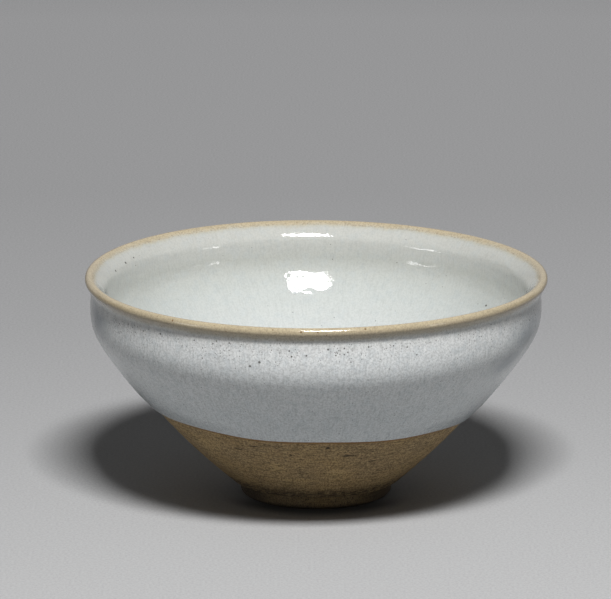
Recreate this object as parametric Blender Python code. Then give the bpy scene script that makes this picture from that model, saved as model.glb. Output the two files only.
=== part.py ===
"""A wheel-thrown stoneware bowl: a clay wall on a turned foot ring, under an inner, a rim and an outer coat of glaze.

The bowl stands on the XY plane with its axis on Z. Every piece is one section, drawn in radius and height and turned
once around Z. One line of stations runs along the clay from the ledge over the foot, up the outside, over the lip and
down to the middle of the floor, and the three coats of glaze are laid along it.
"""

import math

import bmesh
import bpy
from mathutils import Vector

# Overall sizes, in metres
RIM_DIAMETER = 0.125
BOWL_HEIGHT = 0.061

# Foot ring
FOOT_DIAMETER = 0.041
FOOT_HEIGHT = 0.0042
FOOT_WALL = 0.0045
FOOT_TAPER = 0.0003
FOOT_BEVEL = 0.0005
FOOT_SEAT = 0.0003

# Outside of the clay: a ledge over the foot, a cone, a shoulder, a slight neck and a flared lip.
# Setbacks are measured inwards from the rim, depths downwards, and a pull is the length of a curve's handle.
LEDGE_WIDTH = 0.0023
CONE_LEAN = math.radians(39.0)
CONE_PULL = 0.0230
SHOULDER_SETBACK = 0.0027
SHOULDER_DEPTH = 0.0115
SHOULDER_PULL = 0.0050
NECK_SETBACK = 0.0025
NECK_DEPTH = 0.0056
NECK_PULL = 0.0016
NECK_SHOULDER_PULL = 0.0030
LIP_FLARE = math.radians(38.0)
LIP_PULL = 0.0016

# Clay thickness at the lip, at the neck, at the shoulder and over the ledge, and the floor inside
LIP_THICKNESS = 0.0015
NECK_THICKNESS = 0.0015
SHOULDER_THICKNESS = 0.0024
LEDGE_THICKNESS = 0.0065
FLOOR_THICKNESS = 0.0043
BASE_HOLLOW = 0.0006
POOL_DIAMETER = 0.050
POOL_PULL = 0.0110

# Glaze: its seat on the clay, the gap between two coats, its thickness, and where each coat ends
GLAZE_SEAT = 0.0003
COAT_GAP = 0.0003
RIM_GLAZE = 0.00025
WALL_GLAZE = 0.0006
POOL_GLAZE = 0.0011
LINE_GLAZE = 0.0003
RIM_FADE = 0.0100
LINE_FADE = 0.0100
BAND_OUTSIDE = 0.0031
BAND_INSIDE = 0.0011
GLAZE_LINE_HEIGHT = 0.0255

# Fired surfaces, as linear colours
CLAY_COLOUR = (0.30, 0.21, 0.12)
CLAY_ROUGHNESS = 0.85
GLAZE_COLOUR = (0.60, 0.65, 0.66)
GLAZE_ROUGHNESS = 0.12
BAND_COLOUR = (0.52, 0.43, 0.29)
BAND_ROUGHNESS = 0.25

# Fineness of the turned surfaces
SEGMENTS = 56
CONE_STEPS = 10
SHOULDER_STEPS = 4
LIP_STEPS = 3
LIP_ARC_STEPS = 6
POOL_STEPS = 5
EDGE_STEPS = 3
MERGE_DISTANCE = 1e-6
SHARP_ANGLE = math.radians(40.0)

UP = Vector((0.0, 1.0))
INWARDS = Vector((-1.0, 0.0))


def clear_scene():
    """Empties the file, so that only the bowl is in it."""
    for obj in list(bpy.data.objects):
        bpy.data.objects.remove(obj)


def fired_surface(name, colour, roughness):
    """The material of one fired surface, clay or glaze."""
    material = bpy.data.materials.new(name)
    material.use_nodes = True
    shader = material.node_tree.nodes["Principled BSDF"]
    shader.inputs["Base Color"].default_value = (*colour, 1.0)
    shader.inputs["Roughness"].default_value = roughness
    shader.inputs["Metallic"].default_value = 0.0
    return material


def direction(angle):
    """A unit step in the section, at this angle above the horizontal."""
    return Vector((math.cos(angle), math.sin(angle)))


def curve(start, start_pull, end_pull, end, steps):
    """Points on one cubic curve, both ends included; the pulls are its two handles, as vectors."""
    first = start + start_pull
    last = end - end_pull
    points = []
    for step in range(steps + 1):
        t = step / steps
        s = 1.0 - t
        points.append(s**3 * start + 3 * s * s * t * first + 3 * s * t * t * last + t**3 * end)
    return points


def outward_normals(line):
    """The unit normal at each point of a line, to the right of the way that it runs."""
    normals = []
    for i in range(len(line)):
        before = line[max(i - 1, 0)]
        after = line[min(i + 1, len(line) - 1)]
        along = (after - before).normalized()
        normals.append(Vector((along.y, -along.x)))
    return normals


def lip_centre():
    """The centre of the half round over the lip, set back so that the glazed rim has its full size."""
    glazed_radius = LIP_THICKNESS / 2 + GLAZE_SEAT + RIM_GLAZE
    return Vector((RIM_DIAMETER / 2 - glazed_radius, BOWL_HEIGHT - glazed_radius))


def outer_wall():
    """The clay's outer line from the ledge up to the lip, with the clay's thickness at each station."""
    rim_radius = RIM_DIAMETER / 2
    flare = direction(math.pi / 2 - LIP_FLARE)
    ledge = Vector((FOOT_DIAMETER / 2 + LEDGE_WIDTH, FOOT_HEIGHT))
    shoulder = Vector((rim_radius - SHOULDER_SETBACK, BOWL_HEIGHT - SHOULDER_DEPTH))
    neck = Vector((rim_radius - NECK_SETBACK, BOWL_HEIGHT - NECK_DEPTH))
    lip = lip_centre() + LIP_THICKNESS / 2 * direction(-LIP_FLARE)
    spans = (
        curve(ledge, CONE_PULL * direction(CONE_LEAN), SHOULDER_PULL * UP, shoulder, CONE_STEPS),
        curve(shoulder, NECK_SHOULDER_PULL * UP, NECK_PULL * UP, neck, SHOULDER_STEPS),
        curve(neck, NECK_PULL * UP, LIP_PULL * flare, lip, LIP_STEPS),
    )
    thicknesses = (LEDGE_THICKNESS, SHOULDER_THICKNESS, NECK_THICKNESS, LIP_THICKNESS)
    line = [ledge]
    thickness = [LEDGE_THICKNESS]
    for points, low, high in zip(spans, thicknesses, thicknesses[1:]):
        steps = len(points) - 1
        line += points[1:]
        thickness += [low + (high - low) * step / steps for step in range(1, steps + 1)]
    return line, thickness


def lip_round():
    """The half round over the lip, from the outer line to the inner one, its two ends left out."""
    turns = [math.pi * step / LIP_ARC_STEPS - LIP_FLARE for step in range(1, LIP_ARC_STEPS)]
    return [lip_centre() + LIP_THICKNESS / 2 * direction(turn) for turn in turns]


def inner_wall(line, thickness):
    """The clay's inner line, from the lip down to the edge of the pool."""
    normals = outward_normals(line)
    normals[-1] = direction(-LIP_FLARE)
    offset = [p - n * depth for p, n, depth in zip(line, normals, thickness)]
    offset.reverse()
    wall = offset[:1]
    for before, after in zip(offset, offset[1:]):
        if after.x <= POOL_DIAMETER / 2:
            share = (before.x - POOL_DIAMETER / 2) / (before.x - after.x)
            wall.append(before.lerp(after, share))
            break
        wall.append(after)
    return wall


def pool_floor(wall):
    """The dished floor, from the end of the inner wall to the middle, its first point left out."""
    run_in = (wall[-1] - wall[-2]).normalized()
    middle = Vector((0.0, FOOT_HEIGHT + BASE_HOLLOW + FLOOR_THICKNESS))
    return curve(wall[-1], POOL_PULL * run_in, POOL_PULL * INWARDS, middle, POOL_STEPS)[1:]


class GlazePath:
    """The clay surface that can carry glaze: its stations, their normals, and how far along it each one lies."""

    def __init__(self, outside, over_lip, inside, floor):
        self.points = outside + over_lip + inside + floor
        self.normals = outward_normals(self.points)
        self.normals[-1] = UP
        self.places = [0.0]
        for before, after in zip(self.points, self.points[1:]):
            self.places.append(self.places[-1] + (after - before).length)
        self.length = self.places[-1]
        self.pool_start = self.places[-len(floor) - 1]
        crest = max(point.y for point in self.points)
        self.line = self.place_at(GLAZE_LINE_HEIGHT, True)
        self.band_start = self.place_at(crest - BAND_OUTSIDE, True)
        self.band_end = self.place_at(crest - BAND_INSIDE, False)

    def place_at(self, height, rising):
        """The distance along the path where it passes a height, on its way up or on its way down."""
        for i in range(1, len(self.points)):
            before = self.points[i - 1].y
            after = self.points[i].y
            if (after > before) == rising and min(before, after) <= height <= max(before, after):
                share = (height - before) / (after - before)
                return self.places[i - 1] + share * (self.places[i] - self.places[i - 1])
        raise ValueError("the wall never passes this height")

    def sample(self, place):
        """The point and the normal at one distance along the path."""
        i = 1
        while self.places[i] < place and i < len(self.places) - 1:
            i += 1
        share = (place - self.places[i - 1]) / (self.places[i] - self.places[i - 1])
        point = self.points[i - 1].lerp(self.points[i], share)
        normal = self.normals[i - 1].lerp(self.normals[i], share)
        return point, normal.normalized()

    def thickness(self, place):
        """The glaze's thickness at one distance along the path: thin at the lip and at the glaze line."""
        if place > self.pool_start:
            share = (place - self.pool_start) / (self.length - self.pool_start)
            return WALL_GLAZE + (POOL_GLAZE - WALL_GLAZE) * share
        from_band = max(self.band_start - place, place - self.band_end, 0.0)
        from_line = max(place - self.line, 0.0)
        near_band = RIM_GLAZE + (WALL_GLAZE - RIM_GLAZE) * min(from_band / RIM_FADE, 1.0)
        near_line = LINE_GLAZE + (WALL_GLAZE - LINE_GLAZE) * min(from_line / LINE_FADE, 1.0)
        return min(near_band, near_line)

    def coat(self, start, end):
        """The seat and the face of the glaze between two distances along the path."""
        between = [place for place in self.places if start + COAT_GAP < place < end - COAT_GAP]
        seat = []
        face = []
        for place in [start] + between + [end]:
            point, normal = self.sample(place)
            seat.append(point + normal * GLAZE_SEAT)
            face.append(point + normal * (GLAZE_SEAT + self.thickness(place)))
        return seat, face


def rolled_edge(face_end, seat_end):
    """The half-round edge where a coat ends, from its face to its seat, both left out."""
    middle = (face_end + seat_end) / 2
    spoke = face_end - middle
    across = Vector((spoke.y, -spoke.x))
    turns = [math.pi * step / (EDGE_STEPS + 1) for step in range(1, EDGE_STEPS + 1)]
    return [middle + math.cos(turn) * spoke + math.sin(turn) * across for turn in turns]


def turned_piece(name, section, closed, material):
    """Turns a section once around the bowl's axis. One that isn't closed starts and ends on the axis."""
    shape = bmesh.new()
    ring = [shape.verts.new((point.x, 0.0, point.y)) for point in section]
    pairs = list(zip(ring, ring[1:]))
    if closed:
        pairs.append((ring[-1], ring[0]))
    edges = [shape.edges.new(pair) for pair in pairs]
    bmesh.ops.spin(
        shape,
        geom=ring + edges,
        cent=(0.0, 0.0, 0.0),
        axis=(0.0, 0.0, 1.0),
        angle=2 * math.pi,
        steps=SEGMENTS,
        use_merge=True,
    )
    bmesh.ops.remove_doubles(shape, verts=shape.verts[:], dist=MERGE_DISTANCE)
    bmesh.ops.recalc_face_normals(shape, faces=shape.faces[:])
    mesh = bpy.data.meshes.new(name)
    shape.to_mesh(mesh)
    shape.free()
    mesh.shade_smooth()
    mesh.set_sharp_from_angle(angle=SHARP_ANGLE)
    piece = bpy.data.objects.new(name, mesh)
    piece.data.materials.append(material)
    bpy.context.scene.collection.objects.link(piece)


def make_clay_body(outside, over_lip, inside, floor, clay):
    """The thrown wall and floor, hollowed slightly underneath, inside the foot."""
    hollow_edge = Vector((FOOT_DIAMETER / 2 - FOOT_WALL, FOOT_HEIGHT))
    hollow_middle = Vector((0.0, FOOT_HEIGHT + BASE_HOLLOW))
    section = [hollow_middle, hollow_edge] + outside + over_lip + inside + floor
    turned_piece("clay_body", section, False, clay)


def make_foot_ring(clay):
    """The foot ring under the ledge, a little narrower at the table than at its seat."""
    outer = FOOT_DIAMETER / 2
    inner = outer - FOOT_WALL
    top = FOOT_HEIGHT - FOOT_SEAT
    section = [
        Vector((inner, top)),
        Vector((outer, top)),
        Vector((outer - FOOT_TAPER, FOOT_BEVEL)),
        Vector((outer - FOOT_TAPER - FOOT_BEVEL, 0.0)),
        Vector((inner + FOOT_TAPER + FOOT_BEVEL, 0.0)),
        Vector((inner + FOOT_TAPER, FOOT_BEVEL)),
    ]
    turned_piece("foot_ring", section, True, clay)


def make_outer_glaze(path, glaze):
    """The outer coat, from its rolled edge at the glaze line up to the band on the rim."""
    seat, face = path.coat(path.line, path.band_start - COAT_GAP)
    section = seat + face[::-1] + rolled_edge(face[0], seat[0])
    turned_piece("outer_glaze", section, True, glaze)


def make_rim_glaze(path, glaze):
    """The thin band over the lip, where the glaze ran off the edge."""
    seat, face = path.coat(path.band_start, path.band_end)
    turned_piece("rim_glaze", seat + face[::-1], True, glaze)


def make_inner_glaze(path, glaze):
    """The inner coat, from the band on the rim down to the pool, where it is deepest."""
    seat, face = path.coat(path.band_end + COAT_GAP, path.length)
    turned_piece("inner_glaze", seat[::-1] + face, False, glaze)


def make_bowl():
    """Makes the five pieces of the bowl."""
    clear_scene()
    clay = fired_surface("bare_clay", CLAY_COLOUR, CLAY_ROUGHNESS)
    pale = fired_surface("pale_glaze", GLAZE_COLOUR, GLAZE_ROUGHNESS)
    tan = fired_surface("band_glaze", BAND_COLOUR, BAND_ROUGHNESS)
    outside, thickness = outer_wall()
    over_lip = lip_round()
    inside = inner_wall(outside, thickness)
    floor = pool_floor(inside)
    path = GlazePath(outside, over_lip, inside, floor)
    make_clay_body(outside, over_lip, inside, floor, clay)
    make_foot_ring(clay)
    make_outer_glaze(path, pale)
    make_rim_glaze(path, tan)
    make_inner_glaze(path, pale)


make_bowl()
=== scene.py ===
# %% [markdown]
# A stoneware tea bowl, turned and glazed
#
# This lesson dresses a small wheel-thrown bowl: brown clay, a pale glaze that breaks to tan over the lip,
# and a bare clay cone on a little turned foot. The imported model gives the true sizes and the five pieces.
# Here each piece gets a finer mesh that stands where its plain solid stands, and a finish made only of nodes.
#
# A bowl is a section turned around an axis, so it could be made with the Screw modifier or with a spin. We
# lay the rings ourselves, because on a hand-thrown bowl no two places around a ring are quite alike: the
# lip is a little oval, the glaze edge wanders, and the turning tool leaves ridges.

# %% Load the frame
import math

import bpy
import numpy as np
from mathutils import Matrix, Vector
from mathutils.geometry import interpolate_bezier


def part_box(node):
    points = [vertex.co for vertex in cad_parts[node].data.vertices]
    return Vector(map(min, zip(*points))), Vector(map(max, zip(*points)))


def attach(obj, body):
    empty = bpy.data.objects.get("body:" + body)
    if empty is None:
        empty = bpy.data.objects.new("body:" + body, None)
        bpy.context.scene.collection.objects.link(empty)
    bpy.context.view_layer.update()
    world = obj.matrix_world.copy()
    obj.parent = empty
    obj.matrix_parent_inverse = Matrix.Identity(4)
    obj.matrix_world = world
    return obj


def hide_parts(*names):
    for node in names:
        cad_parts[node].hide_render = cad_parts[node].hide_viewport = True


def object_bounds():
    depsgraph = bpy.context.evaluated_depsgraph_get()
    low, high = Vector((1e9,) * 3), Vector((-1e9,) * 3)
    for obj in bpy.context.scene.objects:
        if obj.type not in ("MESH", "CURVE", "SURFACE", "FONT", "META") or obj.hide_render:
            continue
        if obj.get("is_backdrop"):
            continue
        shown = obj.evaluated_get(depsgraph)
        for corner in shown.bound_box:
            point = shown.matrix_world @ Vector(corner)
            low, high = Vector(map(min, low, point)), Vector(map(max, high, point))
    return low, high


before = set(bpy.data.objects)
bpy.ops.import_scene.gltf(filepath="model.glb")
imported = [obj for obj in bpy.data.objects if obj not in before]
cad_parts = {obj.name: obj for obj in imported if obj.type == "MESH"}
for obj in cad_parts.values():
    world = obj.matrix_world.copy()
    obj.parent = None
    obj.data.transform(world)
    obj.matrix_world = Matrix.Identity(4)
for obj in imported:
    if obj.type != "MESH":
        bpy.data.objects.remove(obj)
cad_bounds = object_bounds()
print("pieces in the frame:", sorted(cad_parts))

# %% [markdown]
# Sizes come first. The rim, the height and the foot are read from the frame, so the fine meshes can't drift
# away from the solids, and the rim stays a hair inside its solid. The other sizes say how a thrown wall
# runs, and they are written in millimetres, the potter's unit.

# %% The main sizes
MM = 0.001
HAIR = 0.03 * MM

_, rim_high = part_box("rim_glaze")
_, foot_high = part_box("foot_ring")
clay_low, clay_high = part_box("clay_body")
RIM_RADIUS = rim_high[0] - HAIR
BOWL_HEIGHT = rim_high[2] - HAIR
FOOT_RADIUS = foot_high[0]
FOOT_HEIGHT = clay_low[2]
FOOT_WALL = 4.5 * MM
print("rim radius", round(RIM_RADIUS / MM, 2), "mm, foot radius", round(FOOT_RADIUS / MM, 2), "mm")

# %% [markdown]
# The outside of the clay runs from a small ledge over the foot, up a steep cone, round a shoulder, through
# an upright neck and out into a flared lip. Each knot below is a radius, a height, and by how many degrees
# the surface faces downwards. Bezier spans join the knots, by Blender's own interpolate_bezier, so no curve
# object is needed. Handles a third of their span long keep the curve even.

# %% The outside of the clay
LEDGE_WIDTH = 2.3 * MM
LEDGE_FACES_DOWN = 49.0
OUTSIDE_KNOTS = [
    (39.50, 20.50, 41.5),
    (52.80, 36.40, 35.5),
    (57.02, 42.40, 31.4),
    (59.12, 46.30, 20.5),
    (60.04, 50.10, 7.0),
    (60.25, 53.50, 0.0),
    (60.32, 56.40, 0.0),
]
LIP_FLARE = math.radians(45.0)
LIP_THICKNESS = 1.5 * MM
LIP_GLAZE = 0.48 * MM
SPAN_STEPS = 400


def direction(angle):
    """A unit step in the section, at this angle above the horizontal."""
    return Vector((math.cos(angle), math.sin(angle)))


def span(start, start_pull, end_pull, end):
    """Close points along one Bezier span, without its first one."""
    return interpolate_bezier(start, start + start_pull, end - end_pull, end, SPAN_STEPS)[1:]


def smooth_through(knots):
    """Close points along Bezier spans through (place, direction) knots, each handle a third of its span."""
    points = []
    for (start, start_way), (end, end_way) in zip(knots, knots[1:]):
        pull = (end - start).length / 3
        points += span(start, pull * start_way, pull * end_way, end)
    return points


lip_reach = LIP_THICKNESS / 2 + LIP_GLAZE
lip_centre = Vector((RIM_RADIUS - lip_reach, BOWL_HEIGHT - lip_reach))
ledge = Vector((FOOT_RADIUS + LEDGE_WIDTH, FOOT_HEIGHT))
knots = [(ledge, direction(math.radians(90.0 - LEDGE_FACES_DOWN)))]
for radius, height, faces_down in OUTSIDE_KNOTS:
    knots.append((Vector((radius, height)) * MM, direction(math.radians(90.0 - faces_down))))
lip = lip_centre + LIP_THICKNESS / 2 * direction(-LIP_FLARE)
knots.append((lip, direction(math.pi / 2 - LIP_FLARE)))
outside = [ledge] + smooth_through(knots)
print("the outside has", len(outside), "points")

# %% [markdown]
# Inside, the fingers leave a softer line than the tool leaves outside: a sloping facet under the lip, an
# upright neck, a rounded inner shoulder and then a long cone down to the pool. These knots say by how many
# degrees the surface faces upwards, because the way that a glossy wall faces decides where it mirrors the
# lamps.

# %% The inside of the clay
LIP_INSIDE = math.radians(130.0)
LIP_POINTS = 80
INSIDE_KNOTS = [
    (58.64, 58.06, 37.5),
    (57.86, 56.87, 32.0),
    (57.55, 55.90, 8.0),
    (57.45, 53.25, 4.0),
    (56.97, 50.08, 16.0),
    (55.69, 47.04, 32.0),
    (51.91, 41.55, 38.0),
    (44.30, 33.30, 44.0),
    (25.20, 14.30, 48.0),
]
POOL_RADIUS = INSIDE_KNOTS[-1][0] * MM
LEDGE_TO_FLOOR = 4.9 * MM
FLOOR_TOP = FOOT_HEIGHT + LEDGE_TO_FLOOR
POOL_PULL = 11.0 * MM
INWARDS = Vector((-1.0, 0.0))

turns = np.linspace(-LIP_FLARE, LIP_INSIDE, LIP_POINTS)[1:]
over_lip = [lip_centre + LIP_THICKNESS / 2 * direction(turn) for turn in turns]
knots = [(over_lip[-1], direction(LIP_INSIDE + math.pi / 2))]
for radius, height, faces_up in INSIDE_KNOTS:
    knots.append((Vector((radius, height)) * MM, direction(math.radians(270.0 - faces_up))))
inside = smooth_through(knots)
pool_edge, run_in = knots[-1]
floor = span(pool_edge, POOL_PULL * run_in, POOL_PULL * INWARDS, Vector((0.0, FLOOR_TOP)))
print("the inside has", len(inside), "points, the floor top is at", round(FLOOR_TOP / MM, 1), "mm")

# %% [markdown]
# Clay and glaze share one long line: up the outside, over the lip, down the inside and across the floor.
# Every place on the bowl then has one number, its distance past the lip: below zero outside, above zero
# inside. The glaze's thickness and its colours will both be told by that number, so neighbouring coats meet
# without a seam.

# %% One line for the whole wall
WALL_STEP = 0.05 * MM


def distances(line):
    """How far along a line each of its points lies."""
    steps = np.linalg.norm(np.diff(line, axis=0), axis=1)
    return np.concatenate([[0.0], np.cumsum(steps)])


def right_hand_normals(line):
    """The unit normals of a line, to the right of the way that it runs."""
    along = np.gradient(line, axis=0)
    along /= np.linalg.norm(along, axis=1)[:, None]
    return np.stack([along[:, 1], -along[:, 0]], axis=1)


wall = np.array([tuple(point) for point in outside + over_lip + inside + floor])
wall_places = distances(wall)
even_places = np.arange(0.0, wall_places[-1], WALL_STEP)
wall = np.stack([np.interp(even_places, wall_places, wall[:, i]) for i in range(2)], axis=1)
wall[-1] = (0.0, FLOOR_TOP)
wall_normals = right_hand_normals(wall)
wall_normals[-1] = (0.0, 1.0)
crest = int(np.argmax(wall[:, 1]))
past_lip = even_places - even_places[crest]


def on_wall(place, offset=0.0):
    """Radius and height at a distance past the lip, on a surface that lies this far over the clay."""
    radius, height = (np.interp(place, past_lip, wall[:, i]) for i in range(2))
    outwards, upwards = (np.interp(place, past_lip, wall_normals[:, i]) for i in range(2))
    return radius + offset * outwards, height + offset * upwards


def place_outside(height):
    """The distance past the lip at which the outside of the clay has this height."""
    return np.interp(height, wall[:crest, 1], past_lip[:crest])


LEDGE_PLACE = past_lip[0]
MIDDLE_PLACE = past_lip[-1]
print("from the ledge to the lip:", round(-LEDGE_PLACE / MM, 1), "mm")
print("from the lip to the middle:", round(MIDDLE_PLACE / MM, 1), "mm")

# %% [markdown]
# The glaze stops short of the foot, where the potter held the bowl to dip it. Its edge dips a little to one
# side and wavers. A level line plus a few slow waves around the bowl describes it. Each row is a wave's
# number of turns around, its size and its start, and a whole number of turns always closes on itself.

# %% Where the glaze ends
AROUND = 400
azimuths = np.arange(AROUND) * 2 * math.pi / AROUND
LINE_HEIGHT = 25.65 * MM
LINE_DIP = 1.58 * MM
LINE_WAVES = [(3, 0.21 * MM, 1.5), (8, 0.20 * MM, 0.5)]

line_height = LINE_HEIGHT - LINE_DIP * np.sin(azimuths)
for turns_around, size, start in LINE_WAVES:
    line_height += size * np.cos(turns_around * azimuths - start)
line_place = place_outside(line_height)
print("the glaze edge runs between", np.round([line_height.min() / MM, line_height.max() / MM], 1), "mm")

# %% [markdown]
# Glaze melts and runs: it is thin over the lip, grows down the wall, and is deepest in the pool on the
# floor. At its lower edge it stands up from the clay in a small rounded bead. These functions give its
# thickness at any place.

# %% How thick the glaze lies
WALL_GLAZE = 0.9 * MM
POOL_GLAZE = 1.4 * MM
EDGE_GLAZE = 0.62 * MM
BEAD_WIDTH = 0.45 * MM
GLAZE_FADE = 10.0 * MM
EDGE_FADE = 6.0 * MM
BAND_DEPTH = 3.1 * MM
BAND_OUTSIDE = place_outside(clay_high[2] - BAND_DEPTH)
BAND_INSIDE = 1.6 * MM


def ease(share):
    """A soft step from 0 to 1."""
    share = np.clip(share, 0.0, 1.0)
    return share * share * (3.0 - 2.0 * share)


def glaze_thickness(place):
    """Thin over the lip, full on the wall, deepest in the pool."""
    from_band = np.maximum(BAND_OUTSIDE - place, place - BAND_INSIDE)
    wall_share = ease(from_band / GLAZE_FADE)
    pool_share = ease((place - (MIDDLE_PLACE - POOL_RADIUS)) / POOL_RADIUS)
    thickness = LIP_GLAZE + (WALL_GLAZE - LIP_GLAZE) * wall_share
    return thickness + (POOL_GLAZE - WALL_GLAZE) * pool_share


def edge_thickness(above_edge):
    """The most that the glaze can stand up at this distance above its lower edge."""
    bead = np.sqrt(1.0 - (1.0 - np.clip(above_edge / BEAD_WIDTH, 0.0, 1.0)) ** 2)
    grown = EDGE_GLAZE + (WALL_GLAZE - EDGE_GLAZE) * ease(above_edge / EDGE_FADE)
    return bead * grown


thicknesses = [LIP_GLAZE / MM, WALL_GLAZE / MM, POOL_GLAZE / MM]
print("glaze over the lip, on the wall and in the pool:", thicknesses, "mm")

# %% [markdown]
# No thrown bowl is a perfect figure of revolution. This one bows a hair to the left at mid-height, its lip
# rises and falls twice around, and it is oval by a tenth of a millimetre, in waves like those of the line.
# One function bends every point of every piece in the same way, so the coats stay on the clay. At the rim
# it only moves them inwards or downwards, and so the bowl stays in the box of its solids.

# %% The hand of the thrower
BOW = 0.25 * MM
LIP_WAVE = 0.20 * MM
LIP_CREST = math.radians(38.0)
OVAL = [(2, 0.05 * MM, 0.6), (3, 0.03 * MM, -1.1)]


def hand_thrown(radius, azimuth, height):
    """Points in space for places on a perfect bowl; azimuth runs from the front towards +X."""
    rise = np.clip(height / BOWL_HEIGHT, 0.0, 1.0)
    for turns_around, size, start in OVAL:
        narrower = size * rise**2 * (np.cos(turns_around * azimuth - start) - 1.0)
        radius = radius + narrower * radius / RIM_RADIUS
    x = radius * np.sin(azimuth) - BOW * 4.0 * rise * (1.0 - rise)
    y = -radius * np.cos(azimuth)
    dip = LIP_WAVE * rise**2 * (1.0 - np.cos(2.0 * (azimuth - LIP_CREST)))
    return np.stack([x, y, height - dip], axis=-1)


print("the lip rises and falls by", round(2 * LIP_WAVE / MM, 2), "mm")

# %% [markdown]
# Every piece below is a stack of rings. The function takes radius and height for each ring and each
# azimuth, bends them as above, and joins neighbouring rings with quads. A stack that starts and ends on the
# axis gets one point there and a fan of triangles; any other stack closes on itself like a tyre.

# %% Rings into a mesh
SHARP_ANGLE = math.radians(50.0)


def ring_piece(name, node, radius, height, closed):
    """A mesh of rings, riding on the bowl in place of its solid. The arrays hold one row for each ring."""
    rows = len(radius)
    points = hand_thrown(radius, azimuths[None, :], height)
    vertices = points.reshape(-1, 3).tolist()
    faces = []
    around = np.arange(AROUND)
    beside = np.roll(around, -1)
    last = rows if closed else rows - 1
    for row in range(last):
        low = row * AROUND
        high = (row + 1) % rows * AROUND
        quads = np.stack([low + around, low + beside, high + beside, high + around], axis=1)
        faces += quads.tolist()
    if not closed:
        for row, order in ((0, -1), (rows - 1, 1)):
            pole = len(vertices)
            vertices.append(points[row].mean(axis=0).tolist())
            ring = row * AROUND
            fan = np.stack([ring + around, ring + beside, np.full(AROUND, pole)], axis=1)[:, ::order]
            faces += fan.tolist()
    mesh = bpy.data.meshes.new(name)
    mesh.from_pydata(vertices, [], faces)
    mesh.validate()
    mesh.update()
    mesh.shade_smooth()
    mesh.set_sharp_from_angle(angle=SHARP_ANGLE)
    piece = bpy.data.objects.new(name, mesh)
    bpy.context.scene.collection.objects.link(piece)
    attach(piece, "root")
    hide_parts(node)
    print(name, "has", len(vertices), "points and", len(faces), "faces")
    return piece


def write_attribute(piece, name, values, poles=()):
    """One number at each point of a piece, which its material can read."""
    numbers = np.concatenate([values.ravel(), poles])
    attribute = piece.data.attributes.new(name, "FLOAT", "POINT")
    attribute.data.foreach_set("value", numbers.astype(np.float32))


def rows_between(start, end, step):
    """Even stations from start to end, about one step apart."""
    return np.linspace(start, end, max(2, round(abs(end - start) / step) + 1))


print("each ring has", AROUND, "points")

# %% [markdown]
# The clay shows below the glaze, so that is where it needs work. The turning tool cuts a slow spiral of
# ridges, and it digs deeper just above the ledge. Ridges are waves along the wall, and each one shifts by
# whole turns around the bowl, which makes a spiral that closes: a row is a pitch, the turns and a height.
# Under the glaze the ridges fade out.

# %% Ridges of the turning tool
RIDGES = [
    (0.83 * MM, 1, 0.016 * MM),
    (0.52 * MM, -1, 0.010 * MM),
    (1.9 * MM, 1, 0.022 * MM),
    (3.7 * MM, 2, 0.020 * MM),
]
RIDGE_WANDER = 0.6
RIDGE_SEED = 11
DEEP_CUTS = 3.5 * MM
DEEPER_BY = 1.6
GLAZE_COVERS = 1.0 * MM
LEDGE_FADE = 0.3 * MM


def tool_ridges(place):
    """How far the tool's ridges stand out at each place and azimuth."""
    draw = np.random.default_rng(RIDGE_SEED)
    ridge = 0.0
    for pitch, turns_around, size in RIDGES:
        phase = draw.uniform(0.0, 2 * math.pi)
        wander = RIDGE_WANDER * np.sin(2 * azimuths + phase)
        up_wall = 2 * math.pi * place[:, None] / pitch
        ridge += size * np.sin(up_wall + turns_around * azimuths + phase + wander)
    deep = 1.0 + DEEPER_BY * np.exp(-(((place - LEDGE_PLACE) / DEEP_CUTS) ** 2))[:, None]
    bare = ease((line_place + GLAZE_COVERS - place[:, None]) / GLAZE_COVERS)
    start = ease((place - LEDGE_PLACE)[:, None] / LEDGE_FADE)
    return ridge * deep * bare * start


print("ridges every", [round(pitch / MM, 2) for pitch, _, _ in RIDGES], "mm")

# %% [markdown]
# Here and there the tool dragged a grain of grit through the clay and left a short dark scratch. Each one
# below is an azimuth from the front in degrees, a height, a length around the bowl and a width up it. It is
# a dent in the mesh, and the same numbers darken the clay there later.

# %% Scratches in the clay
SCRATCHES = [
    (4.3, 23.2, 1.5, 1.35),
    (-9.8, 20.5, 0.9, 1.00),
    (11.6, 20.0, 2.6, 0.90),
    (14.0, 20.2, 5.0, 0.60),
    (-23.5, 22.6, 4.0, 0.60),
    (24.0, 17.3, 3.5, 0.55),
    (-31.0, 20.8, 3.0, 0.60),
]
SCRATCH_DEPTH = 0.16 * MM
SCRATCH_RADIUS = 40.0


def scratch_marks(height):
    """From 0 on plain clay to 1 in the middle of a scratch."""
    marks = 0.0
    for azimuth, middle, length, width in SCRATCHES:
        turn = (azimuths - math.radians(azimuth) + math.pi) % (2 * math.pi) - math.pi
        sideways = turn * SCRATCH_RADIUS * MM / (length / 2 * MM)
        upwards = (height - middle * MM) / (width / 2 * MM)
        marks = np.maximum(marks, np.exp(-(sideways**2) - upwards**2))
    return marks


print("the clay has", len(SCRATCHES), "scratches")

# %% [markdown]
# The clay's rings lie close together where it is bare, and far apart where glaze covers it. Under the ledge
# they turn in to the axis, over a base that the tool hollowed a little. Each point also carries two numbers
# for its material: how far it lies below the glaze, and how far past the lip.

# %% The clay piece
HOLLOW_DEPTH = 0.6 * MM
UNDER_GLAZE = 1.5 * MM
BARE_STEP = 0.13 * MM
GLAZED_STEP = 1.0 * MM
HOLLOW_STEP = 0.8 * MM
POLE_GAP = 0.5 * MM
LEDGE_GAP = 0.15 * MM
FAR_UNDER_GLAZE = -50.0

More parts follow.
